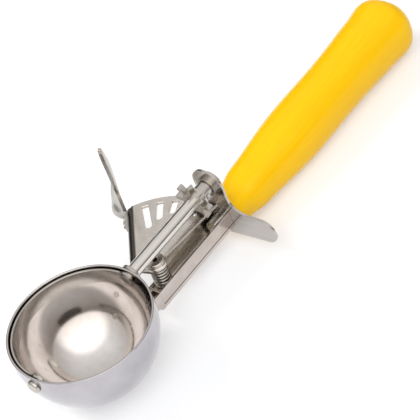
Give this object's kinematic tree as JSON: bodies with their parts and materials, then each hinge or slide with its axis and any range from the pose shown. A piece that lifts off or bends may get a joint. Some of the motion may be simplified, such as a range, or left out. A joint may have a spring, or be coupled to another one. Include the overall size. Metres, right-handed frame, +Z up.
{
  "type": "ice cream scoop",
  "caption": "Ice cream scoop with a round steel bowl, a sprung thumb lever whose slotted fan turns a scraper blade through a star pinion, and a thick yellow handle.",
  "frame": {"origin": "centre of the bowl's sphere, on the axis of the spindle that turns the scraper", "axes": "+X along the spindle from the bowl to the handle, +Y to the side of the thumb lever, +Z up out of the bowl's mouth"},
  "size_m": [0.2208, 0.0651, 0.053],
  "materials": {
    "polished_steel": "polished stainless steel",
    "satin_steel": "satin stainless steel",
    "spring_steel": "drawn spring wire",
    "yellow_plastic": "smooth glossy plastic"
  },
  "bodies": {
    "frame": {"bowl": "polished_steel", "bowl_bush": "polished_steel", "guard_bush": "polished_steel", "bowl_saddle": "satin_steel", "saddle_rivets": "satin_steel", "channel_frame": "satin_steel", "guard_plate": "polished_steel", "handle_grip": "yellow_plastic", "handle_tang": "satin_steel", "pivot_post": "satin_steel", "pivot_eyelet": "satin_steel", "pivot_washer": "satin_steel", "tip_stud": "polished_steel", "torsion_spring": "spring_steel"},
    "lever": {"lever_plate": "satin_steel", "thumb_tab": "satin_steel", "tab_rivets": "satin_steel"},
    "rotor": {"spindle": "satin_steel", "spindle_clip": "satin_steel", "pinion": "satin_steel", "pinion_flange": "satin_steel", "pinion_pin": "satin_steel", "scraper_blade": "polished_steel"}
  },
  "joints": [
    {"name": "lever_hinge", "type": "hinge", "parent": "frame", "child": "lever", "pos_m": [0.0398, 0, 0], "axis": [0, 0, -1], "range_deg": [0, 45], "stiffness_Nm_per_rad": 0.3, "springref_deg": -34.38, "deforming": ["torsion_spring"]},
    {"name": "spindle_spin", "type": "hinge", "parent": "frame", "child": "rotor", "pos_m": [0, 0, 0], "axis": [-1, 0, 0], "range_deg": [0, 180]}
  ],
  "couplings": [
    {"joint": "spindle_spin", "follows": "lever_hinge", "ratio": 4}
  ]
}
